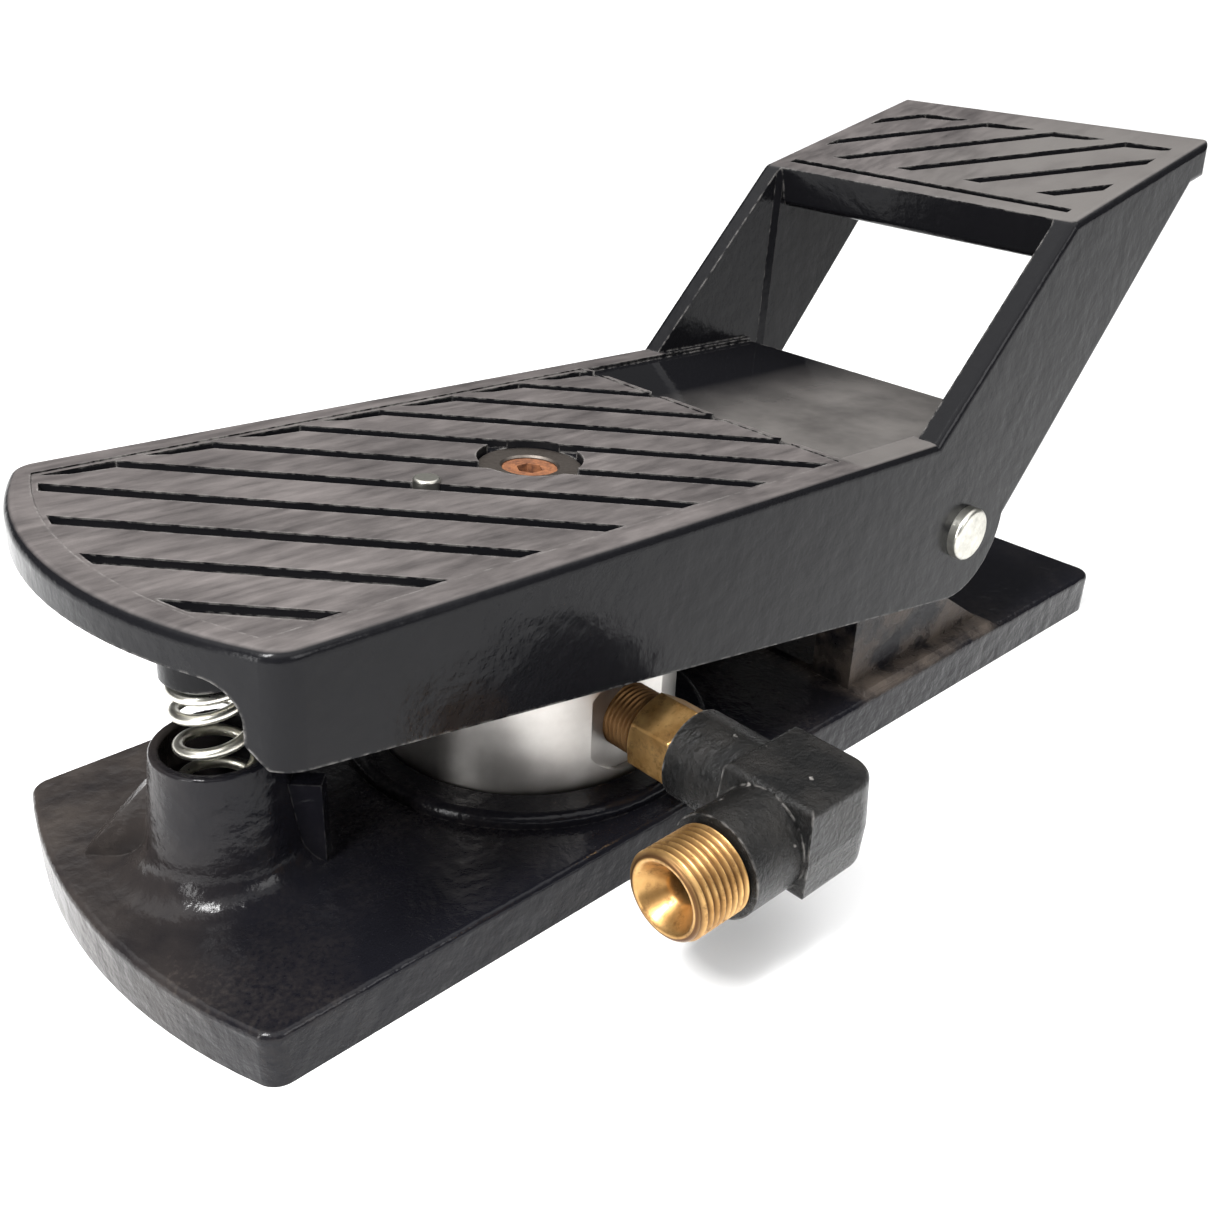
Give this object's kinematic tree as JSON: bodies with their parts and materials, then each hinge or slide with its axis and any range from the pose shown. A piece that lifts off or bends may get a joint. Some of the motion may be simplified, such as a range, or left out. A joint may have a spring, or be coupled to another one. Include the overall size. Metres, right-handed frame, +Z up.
{
  "type": "foot treadle air valve",
  "caption": "Cast foot treadle that pivots over a round air valve on a flat base, with a return spring, a raised rear step and brass pipe fittings.",
  "frame": {"origin": "centre of the base casting's underside", "axes": "+X from the rounded nose (return spring end) to the pivot end, +Y to the inlet side, -Y to the outlet fittings, +Z up"},
  "size_m": [0.3555, 0.1705, 0.1588],
  "materials": {
    "black_enamel": "gloss",
    "worn_black_enamel": "satin",
    "bronze": "satin",
    "zinc_spring": "satin",
    "machined_aluminium": "satin",
    "brass": "satin",
    "seal_rubber": "matte",
    "zinc_steel": "satin",
    "plain_steel": "satin",
    "spring_steel": "satin",
    "rusty_steel": "rough",
    "black_fitting": "satin"
  },
  "bodies": {
    "base": {"base_casting": "black_enamel", "pivot_bushing_near": "bronze", "pivot_bushing_far": "bronze", "return_spring": "zinc_spring", "valve_body": "machined_aluminium", "valve_bonnet": "brass", "bonnet_gasket": "seal_rubber", "plunger_seal": "seal_rubber", "poppet_spring": "zinc_spring", "bottom_plug": "brass", "bottom_plug_seal": "seal_rubber", "valve_screws": "zinc_steel", "brass_nipple": "brass", "elbow": "black_fitting", "hose_connector": "brass"},
    "treadle": {"treadle_casting": "worn_black_enamel", "pivot_pin": "zinc_steel", "pin_washer": "zinc_steel", "pin_retaining_ring": "spring_steel", "adjuster_bushing": "plain_steel", "adjuster_screw": "rusty_steel", "adjuster_lock_nut": "plain_steel", "stop_pin": "zinc_steel"},
    "plunger": {"plunger": "plain_steel", "plunger_retaining_ring": "spring_steel"},
    "poppet": {"poppet": "brass", "poppet_seal": "seal_rubber"}
  },
  "joints": [
    {"name": "treadle_pivot", "type": "hinge", "parent": "base", "child": "treadle", "pos_m": [0.0736, 0, 0.0572], "axis": [0, -1, 0], "range_deg": [0, 3.5], "stiffness_Nm_per_rad": 154, "springref_deg": -3.54, "deforming": ["return_spring"]},
    {"name": "plunger_slide", "type": "slide", "parent": "base", "child": "plunger", "axis": [0, 0, -1], "range_m": [0, 0.0075]},
    {"name": "poppet_slide", "type": "slide", "parent": "base", "child": "poppet", "axis": [0, 0, -1], "range_m": [0, 0.0075], "deforming": ["poppet_spring"]}
  ],
  "couplings": [
    {"joint": "plunger_slide", "follows": "treadle_pivot", "m_per_rad": 0.1214},
    {"joint": "poppet_slide", "follows": "treadle_pivot", "m_per_rad": 0.1214}
  ]
}
